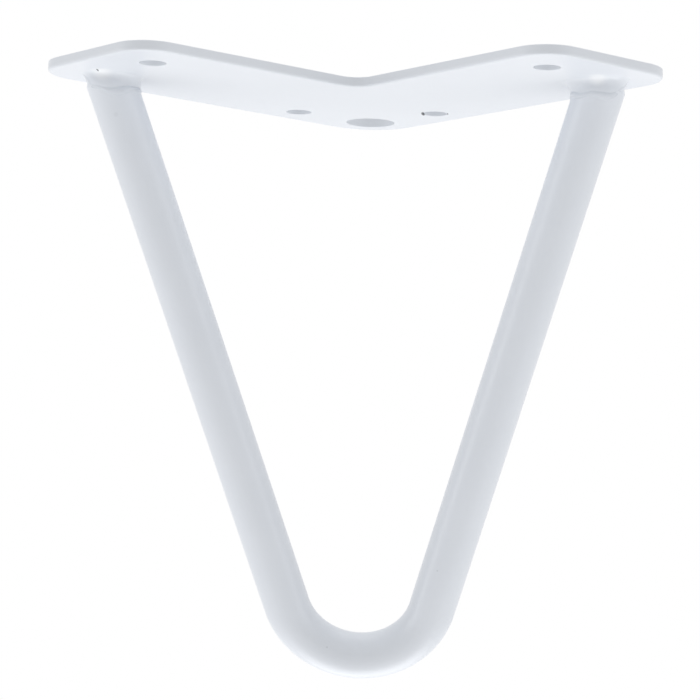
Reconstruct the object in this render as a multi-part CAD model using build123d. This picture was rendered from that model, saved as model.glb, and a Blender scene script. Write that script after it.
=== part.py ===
from build123d import *
import math
import os

os.makedirs("parts", exist_ok=True)

# A short hairpin table leg: a flat two-armed plate, one bent round bar and a weld bead round each bar end.
# Millimetres and degrees. The origin is the middle of the corner hole, on the plate's top face.
# +X runs across the two arms, +Y towards the plate's outer corner and +Z up into the table.

# Overall
leg_height = 150.0  # plate top to the lowest point of the bend

# Mounting plate
plate_thickness = 2.5
arm_angle = 90.0  # between the two arms
arm_length = 112.0  # along the outer edge, from the sharp outer corner
arm_width = 45.5
outer_corner_radius = 14.0
inner_corner_radius = 5.0
end_outer_radius = 11.0  # arm end, on the side of the outer edge
end_inner_radius = 9.0  # arm end, on the side of the inner edge
lower_edge_round = 0.7
upper_edge_break = 0.25  # chamfer

# Holes in the plate
corner_hole_diameter = 12.8
corner_hole_inset = 12.0  # from both outer edges
screw_hole_diameter = 6.5
inner_screw_along = 34.7  # from the sharp outer corner
inner_screw_inset = 9.5  # from the outer edge
end_screw_from_end = 13.3
end_screw_from_inner_edge = 13.2

# Bent bar
bar_diameter = 12.2  # 12 mm bar under its coat
bar_from_end = 16.0  # bar middle to the arm's end, on the plate's underside
bar_from_outer_edge = 10.7
bar_end_break = 1.5  # chamfer round both ends, on the end face
bar_end_break_length = 3.3  # and along the bar
bend_radius = 20.0  # at the bar's middle line
lean_angle = 26.6  # the hairpin's plane from the vertical, foot towards the outer corner

# Weld beads: a thin root pass along the bar, a shorter and fuller cap pass over it, and a hollow flare
# onto the plate. A bead is starved on the side away from the other bar, and leaves some chamfer bare there.
root_thickness = 0.4
root_rise = 4.4  # on the bar, down from the plate, in front and behind
cap_thickness = 0.65
cap_rise = 3.6
pass_blend = 0.15  # softens the groove between the two passes
toe_flare = 1.6  # on the plate, out from the passes
toe_flare_depth = 1.1
pass_fullness_factor = 2  # the higher, the more even a pass is in thickness up to its toe
side_rise_share = 0.7  # rise at the bar's two sides, as a share of that in front
run_out_dip = 0.6  # how far inside the bar's full size a bead's skin passes on the starved side
run_out_factor = 6  # the higher, the narrower the starved side
uneven_share = 0.10  # wander of a pass, in thickness and in rise
flare_uneven_share = 0.2  # wander of the flare's depth
thickness_wave_counts = (3, 5)  # waves of that wander round the bar, in the thickness of a pass
rise_wave_counts = (2, 5)  # in its rise
flare_wave_counts = (2, 2)  # and in the flare's depth
wave_starts = {"left": (0.4, 2.9, 0.6), "right": (2.1, 5.2, 1.0)}  # of root, cap and flare, in radians
bead_levels = 8  # level sections that shape a bead
bead_points = 24  # points round each section
level_crowding_factor = 1.3  # above 1, the sections lie closer together near the plate

# Worked out from the sizes above
half_angle = math.radians(arm_angle / 2)
lean = math.radians(lean_angle)
bar_radius = bar_diameter / 2
corner_y = corner_hole_inset / math.sin(half_angle)  # sharp outer corner
sides = {"left": -1, "right": 1}


def on_arm(side, along, inward):
    """Place in plan, along an arm's outer edge from the sharp outer corner and inward from that edge."""
    x = side * (along * math.sin(half_angle) - inward * math.cos(half_angle))
    y = corner_y - along * math.cos(half_angle) - inward * math.sin(half_angle)
    return Vector(x, y)


def rounded(face, corner, radius):
    """The same outline with one of its corners rounded."""
    return fillet(face.vertices().sort_by_distance(corner)[0], radius)


def mounting_plate():
    """The flat plate: a chevron with rounded corners, edges and five holes."""
    outer_corner = on_arm(1, 0, 0)
    inner_corner = Vector(0, corner_y - arm_width / math.sin(half_angle))
    end_outer = {side: on_arm(side, arm_length, 0) for side in sides.values()}
    end_inner = {side: on_arm(side, arm_length, arm_width) for side in sides.values()}
    corners = [outer_corner, end_outer[1], end_inner[1], inner_corner, end_inner[-1], end_outer[-1]]
    outline = make_face(Polyline(*corners, close=True))
    outline = rounded(outline, outer_corner, outer_corner_radius)
    outline = rounded(outline, inner_corner, inner_corner_radius)
    for side in sides.values():
        outline = rounded(outline, end_outer[side], end_outer_radius)
        outline = rounded(outline, end_inner[side], end_inner_radius)

    plate = extrude(outline, -plate_thickness)
    plate = fillet(plate.faces().sort_by(Axis.Z)[0].edges(), lower_edge_round)
    plate = chamfer(plate.faces().sort_by(Axis.Z)[-1].edges(), upper_edge_break)

    screw_places = []
    for side in sides.values():
        screw_places.append(on_arm(side, inner_screw_along, inner_screw_inset))
        end_inset = arm_width - end_screw_from_inner_edge
        screw_places.append(on_arm(side, arm_length - end_screw_from_end, end_inset))
    holes = Circle(corner_hole_diameter / 2) + Locations(*screw_places) * Circle(screw_hole_diameter / 2)
    return plate - extrude(holes, -plate_thickness)


def bar_line():
    """The bar's middle line: its two ends at the plate, and where its two runs would cross."""
    top = on_arm(1, arm_length - bar_from_end, bar_from_outer_edge)
    half_spread = top.X
    down = Vector(0, math.sin(lean), -math.cos(lean))
    middle_top = Vector(0, top.Y, -plate_thickness)
    bend_depth = (leg_height - plate_thickness - bar_radius) / math.cos(lean)
    centre_depth = bend_depth - bend_radius
    opening = math.acos(bend_radius / math.hypot(half_spread, centre_depth))
    opening -= math.atan2(centre_depth, half_spread)
    apex = middle_top + down * (half_spread / math.tan(opening))
    ends = {side: Vector(side * half_spread, top.Y, -plate_thickness) for side in sides.values()}
    return ends, apex


def hairpin_rod():
    """The bent bar, its ends trimmed to the plate's underside and chamfered."""
    ends, apex = bar_line()
    left = ends[-1] + (ends[-1] - apex).normalized() * bar_diameter
    right = ends[1] + (ends[1] - apex).normalized() * bar_diameter
    path = FilletPolyline(left, apex, right, radius=bend_radius)
    section = Plane(path @ 0, z_dir=path % 0) * Circle(bar_radius)
    underside = Plane.XY.offset(-plate_thickness)
    rod = split(sweep(section, path=path), bisect_by=underside, keep=Keep.BOTTOM)
    for end in ends.values():
        end_face = rod.faces().sort_by_distance(end)[0]
        rod = chamfer(end_face.edges(), bar_end_break, bar_end_break_length, reference=end_face)
    return rod


def wander(turn, waves, start):
    """Unevenness round the bar, between -1 and 1."""
    slow, quick = waves
    return (math.sin(slow * turn + start) + math.sin(quick * turn + 2 * start)) / 2


def weld_pass(turn, depth, thickness, rise, start):
    """How far one pass stands out from the bar; beyond its toe the value is negative."""
    thickness *= 1 + uneven_share * wander(turn, thickness_wave_counts, start)
    rise *= 1 + uneven_share * wander(turn, rise_wave_counts, start)
    rise *= side_rise_share + (1 - side_rise_share) * math.sin(turn) ** 2
    share = depth / rise
    if share > 1:
        return thickness * pass_fullness_factor * (1 - share)
    return thickness * (1 - share ** pass_fullness_factor)


def bead_reach(turn, depth, starts):
    """How far a bead stands out from the bar: turn 0 faces the other bar, a quarter turn the inner edges."""
    root_start, cap_start, flare_start = starts
    root = weld_pass(turn, depth, root_thickness, root_rise, root_start)
    cap = weld_pass(turn, depth, cap_thickness, cap_rise, cap_start)
    passes = (root + cap + math.hypot(root - cap, pass_blend)) / 2
    flare_depth = toe_flare_depth * (1 + flare_uneven_share * wander(turn, flare_wave_counts, flare_start))
    reach = passes + toe_flare * math.exp(-depth / flare_depth)
    bare = ((1 - math.cos(turn)) / 2) ** run_out_factor
    return reach * (1 - bare) - run_out_dip * bare


def weld_bead(side, starts, rod):
    """A bead round one bar end: a loft of level sections, cut where the bar passes through it."""
    ends, apex = bar_line()
    axis = (apex - ends[side]).normalized()
    deepest = root_rise * (1 + uneven_share)
    sections = []
    for level in range(bead_levels):
        depth = deepest * (level / (bead_levels - 1)) ** level_crowding_factor
        middle = ends[side] + axis * (depth / -axis.Z)
        ring = []
        for point in range(bead_points):
            turn = 2 * math.pi * point / bead_points
            out = Vector(-side * math.cos(turn), -math.sin(turn), 0)
            bar_reach = bar_radius / math.sqrt(1 - out.dot(axis) ** 2)
            ring.append(middle + out * (bar_reach + bead_reach(turn, depth, starts)))
        sections.append(Wire([Edge.make_spline(ring, periodic=True)]))
    return Part() + Solid.make_loft(sections) - rod


rod = hairpin_rod()
export_step(mounting_plate(), "parts/mounting_plate.step")
export_step(rod, "parts/hairpin_rod.step")
for name, side in sides.items():
    export_step(weld_bead(side, wave_starts[name], rod), f"parts/weld_bead_{name}.step")
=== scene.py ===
import bmesh
import bpy
import math
from mathutils import Matrix, Vector, noise


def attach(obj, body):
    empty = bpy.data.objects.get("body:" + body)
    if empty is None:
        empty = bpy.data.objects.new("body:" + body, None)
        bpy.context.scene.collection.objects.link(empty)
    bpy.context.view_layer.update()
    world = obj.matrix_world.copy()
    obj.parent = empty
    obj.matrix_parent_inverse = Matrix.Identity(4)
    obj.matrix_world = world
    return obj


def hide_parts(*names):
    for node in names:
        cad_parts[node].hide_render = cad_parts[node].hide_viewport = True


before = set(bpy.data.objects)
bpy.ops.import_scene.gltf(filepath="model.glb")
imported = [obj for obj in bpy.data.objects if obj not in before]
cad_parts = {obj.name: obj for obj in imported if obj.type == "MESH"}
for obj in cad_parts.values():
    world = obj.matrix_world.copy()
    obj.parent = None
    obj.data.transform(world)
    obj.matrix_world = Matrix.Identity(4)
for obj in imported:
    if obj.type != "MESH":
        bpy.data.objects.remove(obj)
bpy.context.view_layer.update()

# A short hairpin table leg: each solid is redrawn finer, in the same place, under one white powder coat.
# Metres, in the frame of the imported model: the origin is the corner hole's middle on the plate's top face.

# Camera, from the outlines in the photo
camera_place = (0.04919, -0.67075, -0.12437)
camera_yaw = math.radians(-4.519)
camera_pitch = math.radians(5.179)
camera_roll = math.radians(-1.546)
camera_lens = 131.29  # millimetres, on a 36 mm wide sensor

# Sizes of the part
leg_height = 0.150
plate_thickness = 0.0025
half_angle = math.radians(45)
arm_length = 0.112
arm_width = 0.0455
outer_corner_radius = 0.014
inner_corner_radius = 0.005
end_outer_radius = 0.011
end_inner_radius = 0.009
lower_edge_round = 0.0007
upper_edge_round = 0.00025
corner_hole_radius = 0.0064
corner_hole_inset = 0.012
screw_hole_radius = 0.00325
inner_screw_along = 0.0347
inner_screw_inset = 0.0095
end_screw_from_end = 0.0133
end_screw_from_inner_edge = 0.0132
hole_rim_round = 0.0002
edge_flat = 0.0003  # strip of the flat face that is drawn along with each rounded edge
bar_radius = 0.0061
bar_from_end = 0.016
bar_from_outer_edge = 0.0107
bar_end_break = 0.0015
bar_end_break_length = 0.0033
bar_end_hold = 0.0002  # from the chamfer to the next ring, which keeps the shading crisp there
bend_radius = 0.020
lean = math.radians(26.6)

# Weld beads: two rounded passes one above the other along the bar, and a hollow flare onto the plate
root_height = 0.00032
root_middle = 0.0040
root_half_width = 0.00105
cap_height = 0.0004
cap_middle = 0.0021
cap_half_width = 0.0021
toe_flare = {"left": 0.0022, "right": 0.0029}
side_rise_share = 0.7
run_out_dip = 0.0006
run_out_power = 6
uneven_share = 0.14
flare_uneven_share = 0.35
height_wave_counts = (3, 5)
rise_wave_counts = (2, 5)
flare_wave_counts = (2, 2)
wave_starts = {"left": (0.4, 2.9, 0.6), "right": (2.1, 5.2, 1.0)}
pass_groove = 0.00010  # depth of the groove between the passes
pass_groove_width = 0.00010
bead_lumps = 0.00008  # height of the small lumps under the coat
bead_lump_size = 0.0016
lump_cover = 0.0005  # thickness of bead from which the lumps have their full height
passes_shade = 0.6  # painted shade on the passes, as a share; it is darkest, 1, in the groove and at the toe
shade_fade_height = 0.0004  # height of flare over which the painted shade fades out
bead_set_in = 0.00001  # into the plate, so that the bead's feathered edge ends just inside it
bead_hidden = 0.0018  # into the bar, for the bead's unseen back

# Powder coat
coat_darker = (0.78, 0.813, 0.866)
coat_lighter = (0.80, 0.832, 0.884)
# painted shade colour for the weld beads' grooves, toes and passes
painted_shade_colour = (0.68, 0.715, 0.77)
# painted highlight colour for the glints on the weld flares
painted_highlight_colour = (0.90, 0.92, 0.95)
dark_mark_colour = (0.04, 0.045, 0.055)
coat_roughness = (0.28, 0.38)
tone_scale = 45  # of the slow shifts of tone and gloss, per metre
peel_scale = 620  # of the orange peel, per metre
peel_height = 0.0002
peel_strength = 0.12
dark_mark_core = 0.6  # share of a mark's reach within which it has its full strength
# share of a painted highlight's reach within which it has its full strength
highlight_core = 0.2

# Dark marks on the coat, and painted highlights at the welds: middle, reach along the three axes and
# strength
dark_marks = {
    "pit beside the left weld": ((-0.06177, -0.06712, -0.0025), (0.0003, 0.0014, 0.0005), 0.9),
    # dark patches at both ends of the right inner hole's rim
    "dark patch at the right inner hole's rim": ((0.01475, -0.0143, -0.0025), (0.0006, 0.0030, 0.0008), 0.95),
    "the same rim, opposite": ((0.02110, -0.0146, -0.0025), (0.0003, 0.0016, 0.0006), 0.8),
    "scuff under the left weld": ((-0.05800, -0.06044, -0.01219), (0.0007, 0.0007, 0.0007), 0.05),
    "speck on the bend": ((-0.00821, 0.00530, -0.14181), (0.0003, 0.0003, 0.0003), 0.15),
    "speck on the right run": ((0.02090, -0.00548, -0.12100), (0.0003, 0.0003, 0.0003), 0.15),
}
# Painted highlights: lighter patches where lamp light glints on the weld flares and the plate beside them
painted_highlights = {
    "painted highlight at the left weld": ((-0.0609, -0.0668, -0.0031), (0.0036, 0.0036, 0.0030), 1.0),
    "painted highlight at the right weld": ((0.0590, -0.0658, -0.0025), (0.0030, 0.0040, 0.0030), 0.9),
}

# Stage
world_strength = 0.66
floor_height = -1.2
floor_half_size = 40
floor_colour = (0.92, 0.92, 0.92)
floor_white_share = 0.85  # near the leg, where the floor keeps the leg's shadow
floor_shadow_reach = 1.5  # from the middle; beyond it the floor fades to plain white
floor_white_from = 6

# Fineness of the meshes
corner_steps = 24
round_steps = 6
hole_steps = 72
bar_steps = 96
bend_steps = 72
bead_steps = 240
bead_rows = 64
bead_smoothing = 2

sides = {"left": -1, "right": 1}
corner_y = corner_hole_inset / math.sin(half_angle)
up = Vector((0, 0, 1))


def on_arm(side, along, inward):
    """Place in plan, along an arm's outer edge from the sharp outer corner and inward from that edge."""
    x = side * (along * math.sin(half_angle) - inward * math.cos(half_angle))
    y = corner_y - along * math.cos(half_angle) - inward * math.sin(half_angle)
    return Vector((x, y, 0))


# Mesh helpers

def add_ring(mesh, points):
    return [mesh.verts.new(point) for point in points]


def join_rings(mesh, first, second):
    for i in range(len(first)):
        mesh.faces.new((first[i - 1], first[i], second[i], second[i - 1]))


def add_piece(name, mesh, material, node):
    """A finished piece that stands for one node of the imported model."""
    bmesh.ops.recalc_face_normals(mesh, faces=mesh.faces)
    for face in mesh.faces:
        face.smooth = True
    data = bpy.data.meshes.new(name)
    mesh.to_mesh(data)
    mesh.free()
    data.materials.append(material)
    piece = bpy.data.objects.new(name, data)
    bpy.context.scene.collection.objects.link(piece)
    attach(piece, "root")
    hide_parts(node)
    return piece


# Mounting plate

def rounded_corner(corner, before, after, radius):
    """Places round one corner of the outline, each with the direction out of the plate."""
    to_before = (before - corner).normalized()
    to_after = (after - corner).normalized()
    half = to_before.angle(to_after) / 2
    middle = corner + (to_before + to_after).normalized() * (radius / math.sin(half))
    first = corner + to_before * (radius / math.tan(half)) - middle
    bend = math.copysign(math.pi - 2 * half, to_after.cross(to_before).z)
    places = []
    for step in range(corner_steps + 1):
        arm = Matrix.Rotation(bend * step / corner_steps, 3, "Z") @ first
        out = arm.normalized() * math.copysign(1, -bend)
        places.append((middle + arm, out))
    return places


def plate_outline():
    corners = [
        (on_arm(1, 0, 0), outer_corner_radius),
        (on_arm(1, arm_length, 0), end_outer_radius),
        (on_arm(1, arm_length, arm_width), end_inner_radius),
        (Vector((0, corner_y - arm_width / math.sin(half_angle), 0)), inner_corner_radius),
        (on_arm(-1, arm_length, arm_width), end_inner_radius),
        (on_arm(-1, arm_length, 0), end_outer_radius),
    ]
    outline = []
    for i, (corner, radius) in enumerate(corners):
        after = corners[(i + 1) % len(corners)][0]
        outline += rounded_corner(corner, corners[i - 1][0], after, radius)
    return outline


def hole_outline(middle, radius):
    outline = []
    for step in range(hole_steps):
        turn = 2 * math.pi * step / hole_steps
        arm = Vector((math.cos(turn), math.sin(turn), 0))
        outline.append((middle + arm * radius, -arm))
    return outline


def edge_profile(upper_round, lower_round):
    """Insets and heights across an edge of the plate, from the top face to the underside."""
    profile = [(upper_round + edge_flat, 0)]
    for step in range(round_steps + 1):
        turn = math.pi / 2 * step / round_steps
        profile.append((upper_round * (1 - math.sin(turn)), -upper_round * (1 - math.cos(turn))))
    for step in range(round_steps + 1):
        turn = math.pi / 2 * step / round_steps
        inset = lower_round * (1 - math.cos(turn))
        profile.append((inset, -plate_thickness + lower_round * (1 - math.sin(turn))))
    profile.append((lower_round + edge_flat, -plate_thickness))
    return profile


def add_edge(mesh, outline, profile):
    """The rounded edge along an outline; gives its rings on the top face and on the underside."""
    rings = []
    for inset, height in profile:
        rings.append(add_ring(mesh, [place - out * inset + up * height for place, out in outline]))
    for first, second in zip(rings, rings[1:]):
        join_rings(mesh, first, second)
    return rings[0], rings[-1]


def fill_flat(mesh, rings):
    edges = [mesh.edges.get((ring[i - 1], ring[i])) for ring in rings for i in range(len(ring))]
    bmesh.ops.triangle_fill(mesh, use_beauty=True, edges=edges, normal=up)


def mounting_plate(material):
    mesh = bmesh.new()
    edges = [add_edge(mesh, plate_outline(), edge_profile(upper_edge_round, lower_edge_round))]
    holes = [(Vector((0, 0, 0)), corner_hole_radius)]
    for side in sides.values():
        holes.append((on_arm(side, inner_screw_along, inner_screw_inset), screw_hole_radius))
        end_inset = arm_width - end_screw_from_inner_edge
        holes.append((on_arm(side, arm_length - end_screw_from_end, end_inset), screw_hole_radius))
    rim = edge_profile(hole_rim_round, hole_rim_round)
    for middle, radius in holes:
        edges.append(add_edge(mesh, hole_outline(middle, radius), rim))
    fill_flat(mesh, [top for top, bottom in edges])
    fill_flat(mesh, [bottom for top, bottom in edges])
    return add_piece("coated_plate", mesh, material, "mounting_plate")


# Bent bar

bar_top = on_arm(1, arm_length - bar_from_end, bar_from_outer_edge)
half_spread = bar_top.x
middle_top = Vector((0, bar_top.y, -plate_thickness))
across = Vector((1, 0, 0))
down = Vector((0, math.sin(lean), -math.cos(lean)))
bend_depth = (leg_height - plate_thickness - bar_radius) / math.cos(lean)
centre_depth = bend_depth - bend_radius
opening = math.acos(bend_radius / math.hypot(half_spread, centre_depth))
opening -= math.atan2(centre_depth, half_spread)


def run_direction(side):
    """Down along one run of the bar."""
    return down * math.cos(opening) - across * (side * math.sin(opening))


def bar_ring(middle, outward):
    """A section of the bar, at right angles to its middle line."""
    sideways = across.cross(down)
    ring = []
    for step in range(bar_steps):
        turn = 2 * math.pi * step / bar_steps
        ring.append(middle + (outward * math.cos(turn) + sideways * math.sin(turn)) * bar_radius)
    return ring


def end_rings(side):
    """The bar's end, from its chamfered face flush with the plate to the full bar below the chamfer."""
    along = run_direction(side)
    outward = down * math.sin(opening) + across * (side * math.cos(opening))
    end = middle_top + across * (side * half_spread)
    edge = [point + along * ((-plate_thickness - point.z) / along.z) for point in bar_ring(end, outward)]
    face = [point - (point - end).normalized() * bar_end_break for point in edge]
    below = [point + along * bar_end_break_length for point in edge]
    held = [point + along * (bar_end_break_length + bar_end_hold) for point in edge]
    return [face, below, held]


def hairpin_bar(material):
    mesh = bmesh.new()
    places = end_rings(1)
    for step in range(bend_steps + 1):
        turn = opening + (math.pi - 2 * opening) * step / bend_steps
        outward = across * math.cos(turn) + down * math.sin(turn)
        middle = middle_top + down * centre_depth + outward * bend_radius
        places.append(bar_ring(middle, outward))
    places += reversed(end_rings(-1))
    rings = [add_ring(mesh, ring) for ring in places]
    for first, second in zip(rings, rings[1:]):
        join_rings(mesh, first, second)
    for ring in (rings[0], rings[-1]):
        for edge in mesh.faces.new(ring).edges:
            edge.smooth = False
    return add_piece("coated_bar", mesh, material, "hairpin_rod")


# Weld beads

def wander(turn, wave_counts, start):
    slow, quick = wave_counts
    return (math.sin(slow * turn + start) + math.sin(quick * turn + 2 * start)) / 2


def weld_pass(turn, depth, height, middle, half_width, start):
    """How far one ridge stands out from the bar; beyond its toes the value is negative."""
    height *= 1 + uneven_share * wander(turn, height_wave_counts, start)
    rise = 1 + uneven_share * wander(turn, rise_wave_counts, start)
    rise *= side_rise_share + (1 - side_rise_share) * math.sin(turn) ** 2
    share = abs(depth / rise - middle) / half_width
    if share > 1:
        return height * 2 * (1 - share)
    return height * (1 - share ** 2)


def bead_reach(name, turn, depth):
    """How far a bead stands out from the bar, and how much painted shade lies there, from 0 to 1.

    Turn 0 faces the other bar and a quarter turn the plate's inner edges.
    """
    root_start, cap_start, flare_start = wave_starts[name]
    root = weld_pass(turn, depth, root_height, root_middle, root_half_width, root_start)
    cap = weld_pass(turn, depth, cap_height, cap_middle, cap_half_width, cap_start)
    groove = math.exp(-((root - cap) / pass_groove_width) ** 2) if root > -pass_groove_width else 0
    hollow = toe_flare[name] * (1 + flare_uneven_share * wander(turn, flare_wave_counts, flare_start))
    flare = hollow - math.sqrt(hollow ** 2 - max(hollow - depth, 0) ** 2)
    reach = max(root, cap) - pass_groove * groove + flare
    bare = ((1 - math.cos(turn)) / 2) ** run_out_power
    reach = max(reach * (1 - bare) - run_out_dip * bare, -run_out_dip)
    toe = math.exp(-(reach / pass_groove_width) ** 2)
    # painted shade: over the passes, fading out on the flare; darkest in the groove and at the toe
    shade_on_passes = passes_shade * math.exp(-flare / shade_fade_height) if reach > 0 else 0
    return reach, max(groove, toe, shade_on_passes)


def evenly(line, count):
    """The same line with its points an even distance apart."""
    lengths = [(b - a).length for a, b in zip(line, line[1:])]
    spacing = sum(lengths) / (count - 1)
    points = [line[0]]
    travelled = 0
    for start, end, length in zip(line, line[1:], lengths):
        while length and len(points) < count - 1 and travelled + length >= spacing * len(points):
            points.append(start.lerp(end, (spacing * len(points) - travelled) / length))
        travelled += length
    return [*points, line[-1]]


def bead_profile(name, turn):
    """The bead's skin at one turn round the bar, from the plate to below its toe, as (out, depth)."""
    deepest = (root_middle + root_half_width) * (1 + uneven_share)
    samples = 4 * bead_rows
    depths = [deepest * step / samples for step in range(samples + 1)]
    profile = evenly([Vector((bead_reach(name, turn, depth)[0], depth)) for depth in depths], bead_rows)
    for _ in range(bead_smoothing):
        inner = [(a + b * 2 + c) / 4 for a, b, c in zip(profile, profile[1:], profile[2:])]
        profile = [profile[0], *inner, profile[-1]]
    return profile


def weld_bead(name, side, material):
    """A bead as a closed skin; its back lies hidden inside the plate and the bar."""
    axis = run_direction(side)
    end = middle_top + across * (side * half_spread)
    rows = [[] for _ in range(bead_rows + 2)]
    shade_amounts = [[] for _ in rows]
    for step in range(bead_steps):
        turn = 2 * math.pi * step / bead_steps
        out = Vector((-side * math.cos(turn), -math.sin(turn), 0))
        bar_reach = bar_radius / math.sqrt(1 - out.dot(axis) ** 2)
        profile = bead_profile(name, turn)
        back = [Vector((-bead_hidden, profile[-1].y)), Vector((-bead_hidden, 0))]
        for row, point in enumerate([*profile, *back]):
            place = end + axis * ((point.y - bead_set_in) / -axis.z) + out * (bar_reach + point.x)
            cover = min(point.x, point.y, lump_cover) / lump_cover
            if cover > 0:
                place += out * (bead_lumps * cover * noise.noise(place / bead_lump_size))
            rows[row].append(place)
            shade_amounts[row].append(bead_reach(name, turn, point.y)[1])
    mesh = bmesh.new()
    # each vertex carries its painted shade, from 0 to 1
    painted_shade = mesh.verts.layers.float.new("painted_shade")
    rings = [add_ring(mesh, row) for row in rows]
    for ring, values in zip(rings, shade_amounts):
        for vertex, value in zip(ring, values):
            vertex[painted_shade] = value
    for i in range(len(rings)):
        join_rings(mesh, rings[i - 1], rings[i])
    return add_piece(f"coated_bead_{name}", mesh, material, f"weld_bead_{name}")


# Material

def mixed(nodes, links, share, colour, other):
    """A colour turned towards another one by a share."""
    mix = nodes.new("ShaderNodeMixRGB")
    mix.inputs["Color2"].default_value = (*other, 1)
    links.new(share, mix.inputs["Fac"])
    links.new(colour, mix.inputs["Color1"])
    return mix.outputs["Color"]


def mark(nodes, links, place, middle, reach, strength, core):
    """A round or long mark, dark or a painted highlight: full strength within its core, a share of its
    reach, and none beyond it.
    """
    away = nodes.new("ShaderNodeVectorMath")
    away.operation = "SUBTRACT"
    away.inputs[1].default_value = middle
    links.new(place, away.inputs[0])
    shares = nodes.new("ShaderNodeVectorMath")
    shares.operation = "DIVIDE"
    shares.inputs[1].default_value = reach
    links.new(away.outputs["Vector"], shares.inputs[0])
    distance = nodes.new("ShaderNodeVectorMath")
    distance.operation = "LENGTH"
    links.new(shares.outputs["Vector"], distance.inputs[0])
    fade = nodes.new("ShaderNodeMapRange")
    fade.interpolation_type = "SMOOTHSTEP"
    fade.inputs["From Min"].default_value = 1
    fade.inputs["From Max"].default_value = core
    fade.inputs["To Max"].default_value = strength
    links.new(distance.outputs["Value"], fade.inputs["Value"])
    return fade.outputs["Result"]


def powder_coat():
    """Smooth white powder coat: a soft gloss over faint orange peel, with shifts of tone and marks, painted
    shade on the weld beads and painted highlights at the welds.
    """
    material = bpy.data.materials.new("white_powder_coat")
    material.use_nodes = True
    nodes, links = material.node_tree.nodes, material.node_tree.links
    shader = nodes["Principled BSDF"]
    shader.inputs["IOR"].default_value = 1.5
    place = nodes.new("ShaderNodeTexCoord").outputs["Object"]

    tone = nodes.new("ShaderNodeTexNoise")
    tone.inputs["Scale"].default_value = tone_scale
    tone.inputs["Detail"].default_value = 3
    links.new(place, tone.inputs["Vector"])
    colours = nodes.new("ShaderNodeValToRGB")
    colours.color_ramp.elements[0].position = 0.3
    colours.color_ramp.elements[0].color = (*coat_darker, 1)
    colours.color_ramp.elements[1].position = 0.7
    colours.color_ramp.elements[1].color = (*coat_lighter, 1)
    links.new(tone.outputs["Fac"], colours.inputs["Fac"])
    colour = colours.outputs["Color"]

    # painted shade on the weld beads: darker in the groove, at the toe and over the passes
    shade_attribute = nodes.new("ShaderNodeAttribute")
    shade_attribute.attribute_name = "painted_shade"
    colour = mixed(nodes, links, shade_attribute.outputs["Fac"], colour, painted_shade_colour)
    # painted highlights at the welds
    for middle, reach, strength in painted_highlights.values():
        share = mark(nodes, links, place, middle, reach, strength, highlight_core)
        colour = mixed(nodes, links, share, colour, painted_highlight_colour)
    for middle, reach, strength in dark_marks.values():
        share = mark(nodes, links, place, middle, reach, strength, dark_mark_core)
        colour = mixed(nodes, links, share, colour, dark_mark_colour)
    links.new(colour, shader.inputs["Base Color"])

    gloss = nodes.new("ShaderNodeMapRange")
    gloss.inputs["To Min"].default_value = coat_roughness[0]
    gloss.inputs["To Max"].default_value = coat_roughness[1]
    links.new(tone.outputs["Fac"], gloss.inputs["Value"])
    links.new(gloss.outputs["Result"], shader.inputs["Roughness"])

    peel = nodes.new("ShaderNodeTexNoise")
    peel.inputs["Scale"].default_value = peel_scale
    peel.inputs["Detail"].default_value = 2
    links.new(place, peel.inputs["Vector"])
    bump = nodes.new("ShaderNodeBump")
    bump.inputs["Strength"].default_value = peel_strength
    bump.inputs["Distance"].default_value = peel_height
    links.new(peel.outputs["Fac"], bump.inputs["Height"])
    links.new(bump.outputs["Normal"], shader.inputs["Normal"])
    return material


# Stage

def seen_directly(nodes, links):
    """1 for rays from the camera or mirrored or bent on their way, which see the white background."""
    path = nodes.new("ShaderNodeLightPath")
    either = nodes.new("ShaderNodeMath")
    either.operation = "MAXIMUM"
    links.new(path.outputs["Is Camera Ray"], either.inputs[0])
    links.new(path.outputs["Is Glossy Ray"], either.inputs[1])
    any_of = nodes.new("ShaderNodeMath")
    any_of.operation = "MAXIMUM"
    links.new(either.outputs["Value"], any_of.inputs[0])
    links.new(path.outputs["Is Transmission Ray"], any_of.inputs[1])
    return any_of.outputs["Value"]


def studio_world():
    """Soft light from all round, in front of a plain white background."""
    world = bpy.data.worlds.new("studio")
    world.use_nodes = True
    nodes, links = world.node_tree.nodes, world.node_tree.links
    ambient = nodes["Background"]
    ambient.inputs["Color"].default_value = (1, 1, 1, 1)
    ambient.inputs["Strength"].default_value = world_strength
    white = nodes.new("ShaderNodeBackground")
    white.inputs["Color"].default_value = (1, 1, 1, 1)
    white.inputs["Strength"].default_value = 1
    mix = nodes.new("ShaderNodeMixShader")
    links.new(seen_directly(nodes, links), mix.inputs["Fac"])
    links.new(ambient.outputs["Background"], mix.inputs[1])
    links.new(white.outputs["Background"], mix.inputs[2])
    links.new(mix.outputs["Shader"], nodes["World Output"].inputs["Surface"])
    bpy.context.scene.world = world


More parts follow.
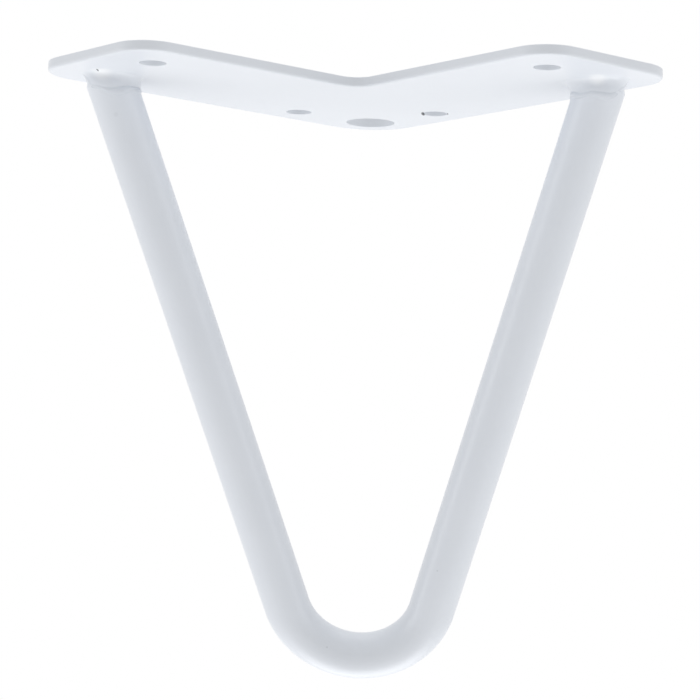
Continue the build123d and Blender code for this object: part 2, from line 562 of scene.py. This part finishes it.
def floor():
    """A pale floor, plain white far from the leg."""
    mesh = bmesh.new()
    bmesh.ops.create_grid(mesh, x_segments=1, y_segments=1, size=floor_half_size)
    data = bpy.data.meshes.new("floor")
    mesh.to_mesh(data)
    mesh.free()
    piece = bpy.data.objects.new("floor", data)
    piece.location = (0, 0, floor_height)
    bpy.context.scene.collection.objects.link(piece)
    material = bpy.data.materials.new("pale_floor")
    material.use_nodes = True
    nodes, links = material.node_tree.nodes, material.node_tree.links
    nodes.remove(nodes["Principled BSDF"])
    matt = nodes.new("ShaderNodeBsdfDiffuse")
    matt.inputs["Color"].default_value = (*floor_colour, 1)
    white = nodes.new("ShaderNodeEmission")
    white.inputs["Strength"].default_value = 1
    away = nodes.new("ShaderNodeVectorMath")
    away.operation = "LENGTH"
    links.new(nodes.new("ShaderNodeTexCoord").outputs["Object"], away.inputs[0])
    fade = nodes.new("ShaderNodeMapRange")
    fade.inputs["From Min"].default_value = floor_shadow_reach
    fade.inputs["From Max"].default_value = floor_white_from
    fade.inputs["To Min"].default_value = floor_white_share
    links.new(away.outputs["Value"], fade.inputs["Value"])
    share = nodes.new("ShaderNodeMath")
    share.operation = "MULTIPLY"
    links.new(seen_directly(nodes, links), share.inputs[0])
    links.new(fade.outputs["Result"], share.inputs[1])
    mix = nodes.new("ShaderNodeMixShader")
    links.new(share.outputs["Value"], mix.inputs["Fac"])
    links.new(matt.outputs["BSDF"], mix.inputs[1])
    links.new(white.outputs["Emission"], mix.inputs[2])
    links.new(mix.outputs["Shader"], nodes["Material Output"].inputs["Surface"])
    data.materials.append(material)


def softbox(name, place, target, size, power):
    lamp = bpy.data.lights.new(name, "AREA")
    lamp.shape = "SQUARE"
    lamp.size = size
    lamp.energy = power
    light = bpy.data.objects.new(name, lamp)
    light.location = place
    light.rotation_euler = (Vector(target) - Vector(place)).to_track_quat("-Z", "Y").to_euler()
    light.visible_camera = False
    bpy.context.scene.collection.objects.link(light)


def photo_camera():
    data = bpy.data.cameras.new("photo_camera")
    data.sensor_width = 36
    data.lens = camera_lens
    data.clip_start = 0.01
    camera = bpy.data.objects.new("photo_camera", data)
    turn = Matrix.Rotation(-camera_yaw, 4, "Z") @ Matrix.Rotation(math.pi / 2 + camera_pitch, 4, "X")
    turn = turn @ Matrix.Rotation(-camera_roll, 4, "Z")
    camera.matrix_world = Matrix.Translation(camera_place) @ turn
    bpy.context.scene.collection.objects.link(camera)
    bpy.context.scene.camera = camera


coat = powder_coat()
mounting_plate(coat)
hairpin_bar(coat)
for name, side in sides.items():
    weld_bead(name, side, coat)

studio_world()
floor()
leg_middle = (0, -0.03, -0.07)
softbox("top_softbox", (0, 0, 1.4), leg_middle, 1.6, 6)
softbox("left_softbox", (-1.3, -0.2, -0.25), (0, -0.2, -0.25), 0.7, 2.4)
softbox("right_softbox", (1.3, -0.2, -0.25), (0, -0.2, -0.25), 0.7, 1.7)
softbox("under_softbox", (0, 0.4, -1.1), (0, 0.4, 0), 1.0, 6.3)
photo_camera()
bpy.context.scene.view_settings.view_transform = "Standard"
